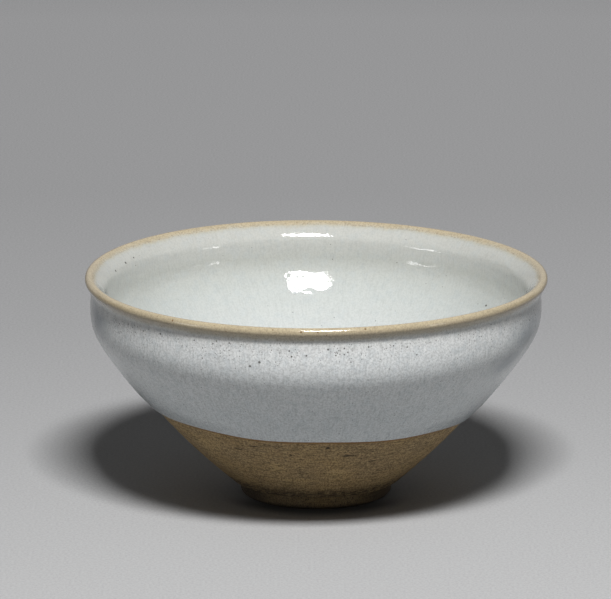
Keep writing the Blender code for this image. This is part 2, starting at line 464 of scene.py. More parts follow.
bare_rows = rows_between(LEDGE_PLACE, line_place.max() + UNDER_GLAZE, BARE_STEP)
glazed_rows = rows_between(bare_rows[-1] + GLAZED_STEP, MIDDLE_PLACE - POLE_GAP, GLAZED_STEP)
clay_rows = np.concatenate([bare_rows, glazed_rows])
ridges = tool_ridges(clay_rows)
_, plain_height = on_wall(clay_rows[:, None])
marks = scratch_marks(plain_height)
clay_radius, clay_height = on_wall(clay_rows[:, None], ridges - SCRATCH_DEPTH * marks)

hollow_radius = rows_between(POLE_GAP, LEDGE_WIDTH + FOOT_RADIUS - LEDGE_GAP, HOLLOW_STEP)[:, None]
hollow_height = FOOT_HEIGHT + HOLLOW_DEPTH * (1.0 - ease(hollow_radius / (FOOT_RADIUS - FOOT_WALL)))
flat = np.ones((1, AROUND))
radius = np.concatenate([hollow_radius * flat, clay_radius])
height = np.concatenate([hollow_height * flat, clay_height])
clay_body = ring_piece("clay_body_turned", "clay_body", radius, height, closed=False)
clay_places = np.concatenate([np.full(len(hollow_radius), LEDGE_PLACE), clay_rows])[:, None] * flat
below_edge = (line_place - clay_places) / MM
write_attribute(clay_body, "below_edge", below_edge, (below_edge.max(), FAR_UNDER_GLAZE))
write_attribute(clay_body, "past_lip", clay_places / MM, (LEDGE_PLACE / MM, MIDDLE_PLACE / MM))

# %% [markdown]
# The foot is turned from the same clay while the bowl stands upside down on the wheel. It is a low ring, a
# little narrower at the table, with worn edges and finer ridges than the cone. A small fillet carries it
# into the ledge.

# %% The foot ring
FOOT_TAPER = 0.1 * MM
FOOT_ROUND = 1.1 * MM
FILLET = 0.45 * MM
FOOT_RIDGE = 0.02 * MM
FINE_PITCH = 0.62 * MM
COARSE_PITCH = 1.3 * MM
SIDE_STEP = 0.08 * MM
REST_STEP = 0.4 * MM

side_heights = rows_between(0.0, FOOT_HEIGHT, SIDE_STEP)
worn = np.clip(1.0 - side_heights / FOOT_ROUND, 0.0, 1.0)
near_ledge = np.clip(1.0 - (FOOT_HEIGHT - side_heights) / FILLET, 0.0, 1.0)
inset = FOOT_ROUND * (1.0 - np.sqrt(1.0 - worn**2)) + FOOT_TAPER * (1.0 - side_heights / FOOT_HEIGHT)
inset -= FILLET * (1.0 - np.sqrt(1.0 - near_ledge**2))
outer_side = FOOT_RADIUS - inset
inner_side = FOOT_RADIUS - FOOT_WALL + inset

rest_radius = rows_between(inner_side[0], outer_side[0], REST_STEP)[1:-1]
foot_radius = np.concatenate([rest_radius, outer_side, inner_side[::-1]])[:, None] * flat
foot_height = np.concatenate([np.zeros(len(rest_radius)), side_heights, side_heights[::-1]])[:, None] * flat
turning = np.sin(2 * math.pi * foot_height / FINE_PITCH + azimuths)
turning += np.sin(2 * math.pi * foot_height / COARSE_PITCH)
foot_radius = foot_radius + FOOT_RIDGE * turning * ease(foot_height / FOOT_ROUND)
foot_ring = ring_piece("foot_ring_turned", "foot_ring", foot_radius, foot_height, closed=True)

# %% [markdown]
# A poured glaze never lies quite flat. Slow, shallow waves, a few hundredths of a millimetre high, are what
# break up the edges of its reflections. They are made as geometry, from forty waves in random directions
# with a fixed seed, and each has a whole number of turns around the bowl. The long ones are the highest.
# They fade out at the lip, where the coats meet, and towards the middle of the floor.

# %% Waves in the glaze
WAVE_SEED = 5
WAVE_COUNT = 40
WAVE_SIZE = 0.006 * MM
WAVE_PITCH = 2.2 * MM
FEWEST_TURNS = 12
MOST_TURNS = 130
LONG_WAVES = 25.0
CALM_AT_LIP = 3.0 * MM
CALM_IN_POOL = 30.0 * MM


def glaze_waves(place):
    """Shallow waves over the face of the glaze, by distance past the lip and azimuth."""
    draw = np.random.default_rng(WAVE_SEED)
    waves = 0.0
    for _ in range(WAVE_COUNT):
        turns_around = int(draw.integers(FEWEST_TURNS, MOST_TURNS))
        up_wall = draw.uniform(-1.0, 1.0) * 2 * math.pi / WAVE_PITCH
        phase = draw.uniform(0.0, 2 * math.pi)
        size = WAVE_SIZE * LONG_WAVES / (turns_around + FEWEST_TURNS)
        waves += size * np.sin(turns_around * azimuths + up_wall * place + phase)
    away = np.minimum(np.abs(place - BAND_OUTSIDE), np.abs(place - BAND_INSIDE))
    return waves * ease(away / CALM_AT_LIP) * ease((MIDDLE_PLACE - place) / CALM_IN_POOL)


highest = np.abs(glaze_waves(past_lip[:crest, None])).max()
print("the highest wave outside stands", round(highest / MM, 3), "mm")

# %% [markdown]
# The three coats are closed thin shells, and one function makes them: a seat just over the clay, with fewer
# rings because it never shows, and a face. Around the outer coat the rings follow its wavering lower edge,
# and they crowd together there to round the bead.

# %% The outer glaze
SEAT = 0.06 * MM
SEAT_STEP = 6
FACE_STEP = 0.5 * MM
EDGE_CALM = 2.0 * MM
BEAD_ROWS = np.array([0.0, 0.012, 0.04, 0.08, 0.13, 0.19, 0.26, 0.34, 0.45, 0.6, 0.8]) * MM


def coat(name, node, place, face_offset, closed=True, seat_step=SEAT_STEP):
    """One coat: the rings of its seat from the last place to the first, then its face on the way back."""
    seat_place = place[::-seat_step]
    rings = np.concatenate([on_wall(seat_place, SEAT), on_wall(place, face_offset)], axis=1)
    piece = ring_piece(name, node, rings[0], rings[1], closed)
    poles = () if closed else (MIDDLE_PLACE / MM, MIDDLE_PLACE / MM)
    write_attribute(piece, "past_lip", np.concatenate([seat_place, place]) / MM, poles)
    return piece


shares = rows_between(0.0, 1.0, FACE_STEP / (BAND_OUTSIDE - line_place.min()))[1:, None]
start = line_place + BEAD_ROWS[-1]
outer_places = np.concatenate([line_place + BEAD_ROWS[:, None], start + shares * (BAND_OUTSIDE - start)])
above_edge = outer_places - line_place
outer_face = np.minimum(glaze_thickness(outer_places), edge_thickness(above_edge))
outer_face = outer_face + glaze_waves(outer_places) * ease(above_edge / EDGE_CALM)
outer_glaze = coat("outer_glaze_coat", "outer_glaze", outer_places, outer_face)

# %% [markdown]
# Over the lip the glaze ran off and left a thin tan skin. The band's rings lie a fifth of a millimetre
# apart, so that the small round of the lip stays round, and its two edges are the edges of the coats beside
# it.

# %% The band over the lip
LIP_STEP = 0.2 * MM
BAND_SEAT_STEP = 3

band_places = rows_between(BAND_OUTSIDE, BAND_INSIDE, LIP_STEP)[:, None] * flat
band_face = glaze_thickness(band_places)
rim_glaze = coat("rim_glaze_coat", "rim_glaze", band_places, band_face, seat_step=BAND_SEAT_STEP)

# %% [markdown]
# The inner coat runs from the band down to the middle of the floor. It meets the axis twice, with its seat
# and with its face, so it isn't closed like a tyre.

# %% The inner glaze
FINE_DEPTH = 3.0 * MM
FACE_POLE_GAP = 0.6 * MM

near_lip = rows_between(BAND_INSIDE, BAND_INSIDE + FINE_DEPTH, LIP_STEP)
farther = rows_between(BAND_INSIDE + FINE_DEPTH + FACE_STEP, MIDDLE_PLACE - FACE_POLE_GAP, FACE_STEP)
inner_places = np.concatenate([near_lip, farther])[:, None] * flat
inner_face = glaze_thickness(inner_places) + glaze_waves(inner_places)
inner_glaze = coat("inner_glaze_coat", "inner_glaze", inner_places, inner_face, closed=False)

# %% [markdown]
# Now the finishes. A node tree is easier to read as a recipe than as a heap of links, so each step of a
# recipe adds one node or a few and hands back an output. The first steps are plain: arithmetic, a soft fade,
# the place of a point. Places are the object's own coordinates, in millimetres, so a finish stays on it.

# %% The plain steps of a recipe
def step_names(recipe):
    """The steps that a class of recipe adds."""
    return [name for name in vars(recipe) if not name.startswith("_")]


class PlainSteps:
    """A material's node tree. Each method adds nodes and returns an output."""

    def __init__(self, name):
        self.material = bpy.data.materials.new(name)
        self.material.use_nodes = True
        self.tree = self.material.node_tree
        self.shader = self.tree.nodes["Principled BSDF"]
        place = self.tree.nodes.new("ShaderNodeTexCoord").outputs["Object"]
        self.here = self.vector("SCALE", place, Scale=1.0 / MM)

    def link(self, socket, value):
        """Gives a socket a number, or the output of another node."""
        if isinstance(value, bpy.types.NodeSocket):
            self.tree.links.new(value, socket)
        else:
            socket.default_value = value

    def vector(self, operation, first, second=(0.0, 0.0, 0.0), **named):
        """One step of vector arithmetic."""
        node = self.tree.nodes.new("ShaderNodeVectorMath")
        node.operation = operation
        self.link(node.inputs[0], first)
        self.link(node.inputs[1], second)
        for name, value in named.items():
            self.link(node.inputs[name], value)
        return node.outputs["Value" if operation == "LENGTH" else "Vector"]

    def number(self, operation, first, second=0.0, third=0.0):
        """One step of arithmetic."""
        node = self.tree.nodes.new("ShaderNodeMath")
        node.operation = operation
        for socket, value in zip(node.inputs, (first, second, third)):
            self.link(socket, value)
        return node.outputs["Value"]

    def fade(self, value, start, end):
        """A soft step from 0 at start to 1 at end."""
        node = self.tree.nodes.new("ShaderNodeMapRange")
        node.interpolation_type = "SMOOTHSTEP"
        self.link(node.inputs["Value"], value)
        self.link(node.inputs["From Min"], start)
        self.link(node.inputs["From Max"], end)
        return node.outputs["Result"]

    def attribute(self, name):
        """A number that the mesh carries."""
        node = self.tree.nodes.new("ShaderNodeAttribute")
        node.attribute_name = name
        return node.outputs["Fac"]

    def axes(self):
        """The three coordinates of this place, by the names X, Y and Z."""
        node = self.tree.nodes.new("ShaderNodeSeparateXYZ")
        self.link(node.inputs[0], self.here)
        return node.outputs

    def level(self):
        """This place without its height."""
        return self.vector("MULTIPLY", self.here, (1.0, 1.0, 0.0))


print("plain steps:", step_names(PlainSteps))

# %% [markdown]
# Patterns come next. Noise makes clouds and grain, and where its coordinates are stretched it makes lines.
# Round specks are the cells of a Voronoi texture, and only some of them are chosen. A mark that has a place
# of its own is an oval on the unrolled wall, which is measured around the bowl and past the lip.

# %% The patterns of a recipe
PATTERN_RADIUS = 50.0
SPECK_CORE = 0.55


class Patterns(PlainSteps):
    """A recipe's patterns, as shares from 0 to 1."""

    def noise(self, scale, detail=2.0, rough=0.5, where=None):
        """Soft noise around 0.5, with this many features to a millimetre."""
        node = self.tree.nodes.new("ShaderNodeTexNoise")
        self.link(node.inputs["Vector"], self.here if where is None else where)
        node.inputs["Scale"].default_value = scale
        node.inputs["Detail"].default_value = detail
        node.inputs["Roughness"].default_value = rough
        return node.outputs["Fac"]

    def streaked(self, around, upwards):
        """Coordinates that squeeze or stretch a pattern around the bowl and up it, without a seam."""
        ring = self.vector("NORMALIZE", self.level())
        ring = self.vector("SCALE", ring, Scale=PATTERN_RADIUS * around)
        height = self.vector("MULTIPLY", self.here, (0.0, 0.0, upwards))
        return self.vector("ADD", ring, height)

    def specks(self, spacing, size, share):
        """Round specks: 1 inside one, 0 outside. The share says how many spots have one."""
        node = self.tree.nodes.new("ShaderNodeTexVoronoi")
        self.link(node.inputs["Vector"], self.here)
        node.inputs["Scale"].default_value = 1.0 / spacing
        spot = self.tree.nodes.new("ShaderNodeSeparateColor")
        self.link(spot.inputs[0], node.outputs["Color"])
        chosen = self.number("LESS_THAN", spot.outputs[0], share)
        reach = self.number("MULTIPLY", spot.outputs[1], size / 2 / spacing)
        inner = self.number("MULTIPLY", reach, SPECK_CORE)
        inside = self.number("SUBTRACT", 1.0, self.fade(node.outputs["Distance"], inner, reach))
        return self.number("MULTIPLY", chosen, inside)

    def placed_marks(self, marks, core=0.5):
        """1 in the core of any of these ovals: degrees around, millimetres past the lip, length and width."""
        place = self.axes()
        unrolled = self.tree.nodes.new("ShaderNodeCombineXYZ")
        forwards = self.number("MULTIPLY", place["Y"], -1.0)
        self.link(unrolled.inputs["X"], self.number("ARCTAN2", place["X"], forwards))
        self.link(unrolled.inputs["Y"], self.attribute("past_lip"))
        total = 0.0
        for azimuth, past, length, width in marks:
            radius, _ = on_wall(past * MM)
            middle = (math.radians(azimuth), past, 0.0)
            reach = (2.0 * radius / MM / length, 2.0 / width, 0.0)
            away = self.vector("SUBTRACT", unrolled.outputs["Vector"], middle)
            away = self.vector("LENGTH", self.vector("MULTIPLY", away, reach))
            total = self.number("MAXIMUM", self.fade(away, 1.0, core), total)
        return total


print("patterns:", step_names(Patterns))

# %% [markdown]
# Colours are laid over one another by those shares, and a bump node bends the light where a pattern is too
# fine for the mesh. The last step wires the shader and puts the material on its piece.

# %% The colours of a recipe
class Recipe(Patterns):
    """One fired surface, from its patterns to the shader."""

    def blend(self, share, first, second, kind="MIX"):
        """One colour laid over another by a share."""
        node = self.tree.nodes.new("ShaderNodeMix")
        node.data_type = "RGBA"
        node.blend_type = kind
        self.link(node.inputs[0], share)
        for socket, value in ((node.inputs[6], first), (node.inputs[7], second)):
            self.link(socket, value if isinstance(value, bpy.types.NodeSocket) else (*value, 1.0))
        return node.outputs[2]

    def lay(self, share, strength, colour, over, kind="MIX"):
        """A colour with another laid over it, by a share and a strength."""
        return self.blend(self.number("MULTIPLY", share, strength), colour, over, kind)

    def ramp(self, share, stops):
        """A colour ramp through stops of (position, colour)."""
        node = self.tree.nodes.new("ShaderNodeValToRGB")
        self.link(node.inputs["Fac"], share)
        elements = node.color_ramp.elements
        while len(elements) < len(stops):
            elements.new(1.0)
        for element, (position, colour) in zip(elements, stops):
            element.position = position
            element.color = (*colour, 1.0)
        return node.outputs["Color"]

    def bump(self, height, distance, below=None):
        """Turns a height into a bent normal; the distance is in metres."""
        node = self.tree.nodes.new("ShaderNodeBump")
        self.link(node.inputs["Height"], height)
        node.inputs["Distance"].default_value = distance
        if below is not None:
            self.link(node.inputs["Normal"], below)
        return node.outputs["Normal"]

    def finish(self, colour, roughness, normal, piece, slot):
        """Wires the shader and puts the material on its piece."""
        self.link(self.shader.inputs["Base Color"], colour)
        self.link(self.shader.inputs["Roughness"], roughness)
        self.link(self.shader.inputs["Normal"], normal)
        piece.data.materials.append(self.material)
        print(self.material.name, "has", len(self.tree.nodes), "nodes")


print("colour steps:", step_names(Recipe))

# %% [markdown]
# The clay is a sandy, ochre-brown stoneware. A few ochre and grey patches on the cone have places of their
# own: an azimuth from the front in degrees, a height, a length and a width. Right under the glaze the fire
# left an orange line, where the clay took up a little of the melt, and the scratches and the cuts over the
# ledge are dark. The clay also grows darker towards the ledge.

# %% The marks on the cone
CLAY = (0.277, 0.194, 0.096)
CLAY_WARM = (0.318, 0.217, 0.096)
CLAY_DARK = (0.085, 0.060, 0.034)
CLAY_PALE = (0.415, 0.312, 0.160)
# Dark colour for the scratches and cuts, and also for the painted shade on the foot.
CLAY_PIT_AND_SHADE = (0.030, 0.022, 0.016)
FLASH = (0.210, 0.110, 0.040)
OCHRE = (0.430, 0.302, 0.132)
CLAY_GREY = (0.200, 0.155, 0.100)
OCHRE_PATCHES = [
    (-18.0, 15.5, 9.0, 7.0),
    (10.0, 13.8, 9.0, 9.0),
    (-8.0, 11.0, 12.0, 4.0),
    (-47.0, 21.0, 18.0, 9.0),
]
GREY_PATCHES = [
    (-24.0, 21.5, 12.0, 5.0),
    (46.0, 20.5, 20.0, 11.0),
]
FLASH_FULL = 1.4
FLASH_OVER = 2.1
CUTS_FULL = LEDGE_PLACE / MM + 1.8
CUTS_OVER = LEDGE_PLACE / MM + 6.0


def by_height(marks):
    """Marks given by their height, as marks given by their distance past the lip."""
    return [(turn, place_outside(high * MM) / MM, long, wide) for turn, high, long, wide in marks]


def cone_patches(mix, colour):
    """Ochre and grey patches, which lie under the lines of the tool."""
    colour = mix.lay(mix.placed_marks(by_height(OCHRE_PATCHES), core=0.0), 0.80, colour, OCHRE)
    return mix.lay(mix.placed_marks(by_height(GREY_PATCHES), core=0.0), 0.35, colour, CLAY_GREY)


def cone_marks(mix, colour):
    """The orange line under the glaze, the scratches, the dark cuts over the ledge, and a darkening towards
    it.
    """
    below = mix.number("MULTIPLY_ADD", mix.noise(0.5), 0.8, mix.attribute("below_edge"))
    flash = mix.number("SUBTRACT", 1.0, mix.fade(below, FLASH_FULL, FLASH_OVER))
    colour = mix.lay(flash, 0.85, colour, FLASH)
    colour = mix.lay(mix.placed_marks(by_height(SCRATCHES)), 1.00, colour, CLAY_PIT_AND_SHADE)
    near_ledge = mix.fade(mix.attribute("past_lip"), CUTS_OVER, CUTS_FULL)
    # The clay grows darker towards the ledge, besides the cuts.
    colour = mix.lay(near_ledge, 0.22, colour, CLAY_PIT_AND_SHADE)
    cuts = mix.noise(1.0, 2.0, 0.6, mix.streaked(0.35, 2.6))
    cut = mix.number("MULTIPLY", mix.fade(cuts, 0.46, 0.56), near_ledge)
    return mix.lay(cut, 0.70, colour, CLAY_PIT_AND_SHADE)


print("the cone has", len(OCHRE_PATCHES), "ochre patches and", len(GREY_PATCHES), "grey ones")

# %% [markdown]
# The foot is darker at its sides and along its lower edge: painted shade, under the overhanging cone and
# close to the table. Both are fades by the place in space: one goes sideways from the middle, and the other
# goes up from the table.

# %% Painted shade on the foot
SIDE_SHADE_STARTS = 8.0
SIDE_SHADE_FULL = 17.0
EDGE_SHADE_UP_TO = 1.8
EDGE_SHADE_DEEP = 0.4


def shade_the_foot(mix, colour):
    """Painted shade at the sides of the foot and along its lower edge."""
    place = mix.axes()
    # Painted shade: darker towards the left and right sides, and close to the table.
    sides = mix.fade(mix.number("ABSOLUTE", place["X"]), SIDE_SHADE_STARTS, SIDE_SHADE_FULL)
    painted_foot_shade = mix.number("MAXIMUM", sides, mix.fade(place["Z"], EDGE_SHADE_UP_TO, EDGE_SHADE_DEEP))
    return mix.lay(painted_foot_shade, 0.75, colour, CLAY_PIT_AND_SHADE)


# How far up the foot the painted shade reaches.
print("the soot reaches", EDGE_SHADE_UP_TO, "mm up the foot")

# %% [markdown]
# All of the clay shares one recipe. Its colour comes in broad warm and cool patches, over them the fine
# lines of the turning tool, and over those the grain of the sand. Each row of layers is a pattern, how
# strongly it shows, and its colour. What only the cone or only the foot has is handed in as functions, for
# under and over those layers. Grit and sand have a spacing, a size, and a share of the spots.

# %% The bare clay
CLAY_ROUGHNESS = 0.82
CLAY_SHINE = 0.3
LINE_RELIEF = 0.10 * MM
GRAIN_RELIEF = 0.16 * MM
GRIT = (0.75, 0.62, 0.30)
SAND = (0.60, 0.45, 0.25)


def clay_recipe(name, piece, slot, shade, under, over):
    """Bare fired clay. The shade is how dark the tool's lines lie."""
    mix = Recipe(name)
    patches = mix.noise(0.09, 3.0)
    lines = mix.noise(1.0, 3.0, 0.6, mix.streaked(0.22, 2.4))
    grain = mix.noise(1.0, 3.0, 0.75, mix.streaked(1.4, 2.3))
    grit = mix.specks(*GRIT)
    sand = mix.specks(*SAND)
    colour = mix.blend(mix.fade(patches, 0.35, 0.65), CLAY, CLAY_WARM)
    for add in under:
        colour = add(mix, colour)
    layers = [
        (mix.fade(lines, 0.48, 0.66), shade, CLAY_DARK),
        (mix.fade(lines, 0.47, 0.36), 0.40, CLAY_PALE),
        (mix.fade(grain, 0.49, 0.62), 0.80, CLAY_DARK),
        (mix.fade(grain, 0.49, 0.36), 0.60, CLAY_PALE),
        (grit, 0.70, CLAY_DARK),
        (sand, 0.35, CLAY_PALE),
    ]
    for pattern, strength, tint in layers:
        colour = mix.lay(pattern, strength, colour, tint)
    for add in over:
        colour = add(mix, colour)
    normal = mix.bump(grain, GRAIN_RELIEF, mix.bump(lines, LINE_RELIEF))
    mix.finish(colour, CLAY_ROUGHNESS, normal, piece, slot)
    mix.shader.inputs["Specular IOR Level"].default_value = CLAY_SHINE


clay_recipe("fired_clay", clay_body, "bare_clay", 0.60, [cone_patches], [cone_marks])
clay_recipe("turned_foot_clay", foot_ring, "foot_clay", 0.20, [], [shade_the_foot])

# %% [markdown]
# One ramp colours the glaze from its lower edge outside, over the lip, to the pool inside, read by the
# distance past the lip. Where the glaze is thin it shows the tan clay, on the neck it is greenish grey, and
# where it is thick it turns a cool blue-white. Noise moves the ramp a little, so that no colour ends on a
# ruled line.

# %% Colours along the glaze
RAMP_START = -56.0
RAMP_END = 100.0
RAMP_LENGTH = RAMP_END - RAMP_START
WANDER = 1.0
SWAY = 1.2
GLAZE_COLOURS = [
    (-56.0, (0.512, 0.546, 0.556)),
    (-30.0, (0.545, 0.577, 0.586)),
    (-14.0, (0.626, 0.648, 0.648)),
    (-7.0, (0.628, 0.638, 0.632)),
    (-4.2, (0.590, 0.595, 0.575)),
    (-3.2, (0.370, 0.343, 0.275)),
    (-1.6, (0.344, 0.288, 0.192)),
    (0.0, (0.456, 0.385, 0.263)),
    (1.0, (0.450, 0.384, 0.270)),
    (1.7, (0.432, 0.420, 0.355)),
    (2.4, (0.460, 0.462, 0.432)),
    (7.5, (0.480, 0.485, 0.455)),
    (10.5, (0.424, 0.432, 0.400)),
    (20.0, (0.490, 0.512, 0.492)),
    (45.0, (0.552, 0.568, 0.562)),
    (72.0, (0.490, 0.530, 0.535)),
    (90.0, (0.440, 0.500, 0.520)),
]


def glaze_colour(mix):
    """The colour of the glaze along the wall, with soft mottling."""
    wander = mix.noise(1.1, 3.0, 0.6)
    sway = mix.noise(0.16, 2.0)
    past = mix.number("MULTIPLY_ADD", wander, WANDER, mix.attribute("past_lip"))
    past = mix.number("MULTIPLY_ADD", sway, SWAY, past)
    past = mix.number("SUBTRACT", past, (WANDER + SWAY) / 2)
    share = mix.number("DIVIDE", mix.number("SUBTRACT", past, RAMP_START), RAMP_LENGTH)
    stops = [((place - RAMP_START) / RAMP_LENGTH, colour) for place, colour in GLAZE_COLOURS]
    return mix.ramp(share, stops)


print("the glaze ramp has", len(GLAZE_COLOURS), "colours")

# %% [markdown]
# Tiny iron specks bled up from the clay into the glaze. They crowd under the lip outside, and a pattern
# scatters them. The largest have places of their own, and so do the dark patches at the sides, which are
# painted shade and painted reflection: degrees around from the front, millimetres past the lip, a length and
# a width.

# %% Specks and painted shade
SPECK = (0.070, 0.066, 0.058)
BROWN_SPECK = (0.130, 0.070, 0.025)
LARGE_SPACING = 0.90
LARGE_SIZE = 0.60
SMALL_SPACING = 0.50
SMALL_SIZE = 0.44
CROWD_STARTS = -12.0
CROWD_FULL = -6.5
CROWD_THINS = -5.8
CROWD_ENDS = -4.4
SPECKS_OUTSIDE = [
    (-14.0, -10.0, 0.95, 0.85),
    (-16.4, -11.2, 0.85, 0.75),
    (-6.6, -6.7, 0.60, 0.60),
    (-6.0, -8.2, 0.60, 0.65),
    (-2.4, -7.9, 0.65, 0.65),
    (2.9, -6.3, 0.75, 0.65),
    (4.8, -7.9, 0.55, 0.55),
    (6.9, -6.1, 0.60, 0.55),
    (12.9, -6.0, 0.60, 0.55),
    (19.3, -6.2, 0.55, 0.55),
    (22.9, -6.9, 0.60, 0.55),
    (-31.5, -5.9, 0.60, 0.55),
    (-26.2, -6.1, 0.50, 0.50),
    (-21.8, -5.5, 0.60, 0.50),
    (-42.1, -5.9, 0.75, 0.60),
    (-48.3, -6.3, 0.60, 0.50),
]
SPECKS_ON_RIM = [
    (-10.4, -0.6, 0.40, 0.40),
    (-3.6, -0.9, 0.70, 0.45),
    (0.4, -0.9, 0.50, 0.45),
    (11.8, -0.6, 0.60, 0.50),
    (-37.0, -0.8, 0.70, 0.50),
]
SPECKS_INSIDE = [
    (-107.4, 5.1, 0.90, 0.80),
    (-115.0, 4.6, 1.00, 0.90),
    (-119.9, 4.2, 0.70, 0.60),
    (118.9, 17.9, 1.20, 0.80),
]
# The colour of the dark patches at the sides of the outer glaze: painted shade and painted reflection.
SIDE_SHADE_COLOUR = (0.260, 0.290, 0.308)
SIDE_SHADES_OUTSIDE = [
    (72.0, -12.0, 42.0, 18.0),
    (61.0, -18.0, 28.0, 13.0),
    (-74.0, -9.0, 26.0, 16.0),
]


def specks_under_lip(mix):
    """Many specks in the first centimetre under the lip, few below."""
    past = mix.attribute("past_lip")
    below = mix.fade(past, CROWD_STARTS, CROWD_FULL)
    crowd = mix.number("MULTIPLY", below, mix.fade(past, CROWD_ENDS, CROWD_THINS))
    crowd = mix.number("MULTIPLY", crowd, 0.75)
    patchy = mix.fade(mix.noise(0.12, 2.0), 0.30, 0.54)
    return mix.number("MULTIPLY_ADD", crowd, patchy, 0.07)


def few_specks(mix):
    """A light, even scatter."""
    return mix.number("MULTIPLY", mix.noise(0.15, 2.0), 0.03)


def rim_specks(mix):
    """A few brown specks in the tan band."""
    return mix.number("MULTIPLY", mix.noise(0.3, 2.0), 0.22)


def iron_specks(mix, colour, iron, share, placed):
    """Specks of two sizes, scattered by a share, and the ones that have places of their own."""
    fewer = mix.number("MULTIPLY_ADD", share, 0.4, -0.03)
    large = mix.specks(LARGE_SPACING, LARGE_SIZE, fewer)
    small = mix.specks(SMALL_SPACING, SMALL_SIZE, share)
    for specks, strength in ((large, 0.8), (small, 0.7), (mix.placed_marks(placed), 0.9)):
        colour = mix.lay(specks, strength, colour, iron)
    return colour


placed_counts = [len(SPECKS_OUTSIDE), len(SPECKS_ON_RIM), len(SPECKS_INSIDE)]
print("placed specks outside, on the rim and inside:", placed_counts)

# %% [markdown]
# Between the ramp's colour and the specks lie the marks of the melt: soft blue clouds, hair-thin threads
# where the glaze ran, and fine grain. The three strengths below are for grain, threads and clouds. The
# surface is glassy, with the faint orange-peel of bubbles that healed over.

# %% The three glazes
CLOUD_BLUE = (0.385, 0.440, 0.470)
DARKER = (0.55, 0.55, 0.55)
OUTSIDE_MARKS = (0.56, 0.30, 0.25)
RIM_MARKS = (0.60, 0.0, 0.0)
INSIDE_MARKS = (0.21, 0.14, 0.15)
OUTSIDE_ROUGHNESS = 0.20
RIM_ROUGHNESS = 0.10
INSIDE_ROUGHNESS = 0.05
PEEL_RELIEF = 0.04 * MM
GLAZE_IOR = 1.52


def glaze_recipe(name, piece, slot, speck_share, marks, specks, roughness, side_shades=()):
    """Pale glaze over iron-bearing clay."""
    grain_strength, thread_strength, cloud_strength = marks
    mix = Recipe(name)
    clouds = mix.noise(0.45, 4.0, 0.65)
    threads = mix.noise(1.0, 2.0, 0.6, mix.streaked(2.6, 0.35))
    grain = mix.noise(2.0, 3.0, 0.75)
    colour = mix.lay(mix.fade(clouds, 0.48, 0.62), cloud_strength, glaze_colour(mix), CLOUD_BLUE)
    colour = mix.lay(mix.fade(threads, 0.45, 0.70), thread_strength, colour, DARKER, "MULTIPLY")
    colour = mix.lay(mix.fade(grain, 0.42, 0.62), grain_strength, colour, DARKER, "MULTIPLY")
    # Soft dark patches at the sides: painted shade and painted reflection.
    if side_shades:
        shade_drift = mix.fade(mix.noise(0.09, 3.0), 0.15, 0.60)
        colour = mix.lay(mix.placed_marks(side_shades, core=0.0), shade_drift, colour, SIDE_SHADE_COLOUR)
    iron = BROWN_SPECK if slot == "rim_glaze" else SPECK
    colour = iron_specks(mix, colour, iron, speck_share(mix), specks)
    peel = mix.noise(0.9, 2.0, 0.5)
    mix.finish(colour, roughness, mix.bump(peel, PEEL_RELIEF), piece, slot)
    mix.shader.inputs["IOR"].default_value = GLAZE_IOR


outside_look = (specks_under_lip, OUTSIDE_MARKS, SPECKS_OUTSIDE, OUTSIDE_ROUGHNESS, SIDE_SHADES_OUTSIDE)
rim_look = (rim_specks, RIM_MARKS, SPECKS_ON_RIM, RIM_ROUGHNESS)
inside_look = (few_specks, INSIDE_MARKS, SPECKS_INSIDE, INSIDE_ROUGHNESS)
glaze_recipe("pale_glaze_outside", outer_glaze, "outer_glaze", *outside_look)
glaze_recipe("thin_glaze_on_the_lip", rim_glaze, "rim_glaze", *rim_look)
glaze_recipe("pale_glaze_inside", inner_glaze, "inner_glaze", *inside_look)

# %% [markdown]
# The bowl stands on plain grey paper in a studio. The floor is one wide sheet that turns paler behind the
# bowl, and that rise is painted light: its tones are colours at distances behind the axis in metres. A touch
# of grain keeps it from being dead flat. Close in front of the foot it fades towards black, a painted contact
# shadow, because the light that bounces off the cone would leave the contact shadow too pale. It is declared
# as stage, because it is no part of the bowl.

# %% The floor
FLOOR_REACH = 6.0
# The paper's own grey in front, then painted light that makes it paler behind the bowl.
FLOOR_TONES_WITH_PAINTED_LIGHT = [
    (-0.10, (0.392, 0.392, 0.394)),
    (0.18, (0.398, 0.398, 0.403)),
    (0.36, (0.455, 0.455, 0.462)),
    (0.66, (0.665, 0.665, 0.675)),
]
TONES_START = -0.20
FIBRES = 0.30
CONTACT_FULL = FOOT_RADIUS / MM + 1.0
CONTACT_END = 28.5
CONTACT_SHADOW_STRENGTH = 0.66
FRONT_STARTS = -5.0
FRONT_FULL = -18.0

floor_mesh = bpy.data.meshes.new("studio_floor")
quarters = [(-1, -1), (1, -1), (1, 1), (-1, 1)]
corners = [(x * FLOOR_REACH, y * FLOOR_REACH, 0.0) for x, y in quarters]
floor_mesh.from_pydata(corners, [], [(0, 1, 2, 3)])
studio_floor = bpy.data.objects.new("studio_floor", floor_mesh)
bpy.context.scene.collection.objects.link(studio_floor)
studio_floor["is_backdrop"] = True

paper = Recipe("grey_paper")
behind = paper.axes()["Y"]
share = paper.number("MULTIPLY_ADD", behind, MM, -TONES_START)
tone = paper.ramp(share, [(metres - TONES_START, colour) for metres, colour in FLOOR_TONES_WITH_PAINTED_LIGHT])
fibres = paper.fade(paper.noise(1.4, 3.0, 0.75), 0.40, 0.62)
tone = paper.lay(fibres, FIBRES, tone, DARKER, "MULTIPLY")
